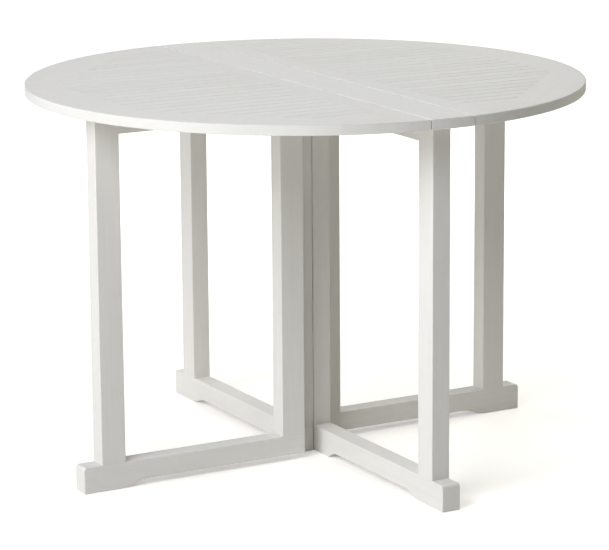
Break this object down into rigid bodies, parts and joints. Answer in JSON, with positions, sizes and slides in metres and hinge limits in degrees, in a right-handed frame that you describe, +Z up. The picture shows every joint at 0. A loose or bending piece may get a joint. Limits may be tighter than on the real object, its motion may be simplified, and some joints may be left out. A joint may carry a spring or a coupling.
{
  "type": "gateleg table",
  "caption": "Round white-painted wooden gateleg table with slatted drop leaves, a narrow centre strip, fixed frames and swinging gates.",
  "frame": {"origin": "on the floor, under the middle of the round top", "axes": "+Z up; +X along the centre strip towards the front fixed frame; +Y across the strip towards the right leaf and the right gate"},
  "size_m": [1.1, 1.1, 0.755],
  "materials": {
    "top_wood": "white satin paint on hardwood boards and slats",
    "frame_wood": "white satin paint on hardwood legs and rails",
    "painted_hinge": "steel gate hinges and their screws, painted white with the frames",
    "hinge_steel": "zinc-plated steel sheet hinges under the seams",
    "fastener_steel": "zinc-plated steel screws, bolts and nuts"
  },
  "bodies": {
    "base": {"centre_strip": "top_wood", "front_frame_foot_rail": "frame_wood", "front_frame_inner_post": "frame_wood", "front_frame_outer_leg": "frame_wood", "front_frame_top_rail": "frame_wood", "gate_hinge_pins": "painted_hinge", "leaf_hinge_pins": "hinge_steel", "post_bolts": "fastener_steel", "post_hinge_plates": "painted_hinge", "post_hinge_screws": "painted_hinge", "post_nuts": "fastener_steel", "post_spacers": "fastener_steel", "rear_frame_foot_rail": "frame_wood", "rear_frame_inner_post": "frame_wood", "rear_frame_outer_leg": "frame_wood", "rear_frame_top_rail": "frame_wood", "strip_fixing_screws": "fastener_steel", "strip_hinge_plates": "hinge_steel", "strip_hinge_screws": "fastener_steel"},
    "left_gate": {"left_gate_foot_rail": "frame_wood", "left_gate_hinge_plates": "painted_hinge", "left_gate_hinge_screws": "painted_hinge", "left_gate_inner_post": "frame_wood", "left_gate_outer_leg": "frame_wood", "left_gate_top_rail": "frame_wood"},
    "right_gate": {"right_gate_foot_rail": "frame_wood", "right_gate_hinge_plates": "painted_hinge", "right_gate_hinge_screws": "painted_hinge", "right_gate_inner_post": "frame_wood", "right_gate_outer_leg": "frame_wood", "right_gate_top_rail": "frame_wood"},
    "left_leaf": {"left_leaf_batten": "top_wood", "left_leaf_batten_screws": "fastener_steel", "left_leaf_gate_stop": "top_wood", "left_leaf_gate_stop_screws": "fastener_steel", "left_leaf_hinge_plates": "hinge_steel", "left_leaf_hinge_rail": "top_wood", "left_leaf_hinge_screws": "fastener_steel", "left_leaf_rim_end_front": "top_wood", "left_leaf_rim_end_rear": "top_wood", "left_leaf_rim_middle": "top_wood", "left_leaf_rim_side_front": "top_wood", "left_leaf_rim_side_rear": "top_wood", "left_leaf_slats": "top_wood"},
    "right_leaf": {"right_leaf_batten": "top_wood", "right_leaf_batten_screws": "fastener_steel", "right_leaf_gate_stop": "top_wood", "right_leaf_gate_stop_screws": "fastener_steel", "right_leaf_hinge_plates": "hinge_steel", "right_leaf_hinge_rail": "top_wood", "right_leaf_hinge_screws": "fastener_steel", "right_leaf_rim_end_front": "top_wood", "right_leaf_rim_end_rear": "top_wood", "right_leaf_rim_middle": "top_wood", "right_leaf_rim_side_front": "top_wood", "right_leaf_rim_side_rear": "top_wood", "right_leaf_slats": "top_wood"}
  },
  "joints": [
    {"name": "left_gate_swing", "type": "hinge", "parent": "base", "child": "left_gate", "pos_m": [0.0275, -0.0425, 0.38], "axis": [0, 0, 1], "range_deg": [0, 90]},
    {"name": "right_gate_swing", "type": "hinge", "parent": "base", "child": "right_gate", "pos_m": [-0.0275, 0.0425, 0.38], "axis": [0, 0, 1], "range_deg": [0, 90]},
    {"name": "left_leaf_lift", "type": "hinge", "parent": "base", "child": "left_leaf", "pos_m": [0, -0.04625, 0.735], "axis": [-1, 0, 0], "range_deg": [0, 6]},
    {"name": "right_leaf_lift", "type": "hinge", "parent": "base", "child": "right_leaf", "pos_m": [0, 0.04625, 0.735], "axis": [1, 0, 0], "range_deg": [0, 6]}
  ]
}
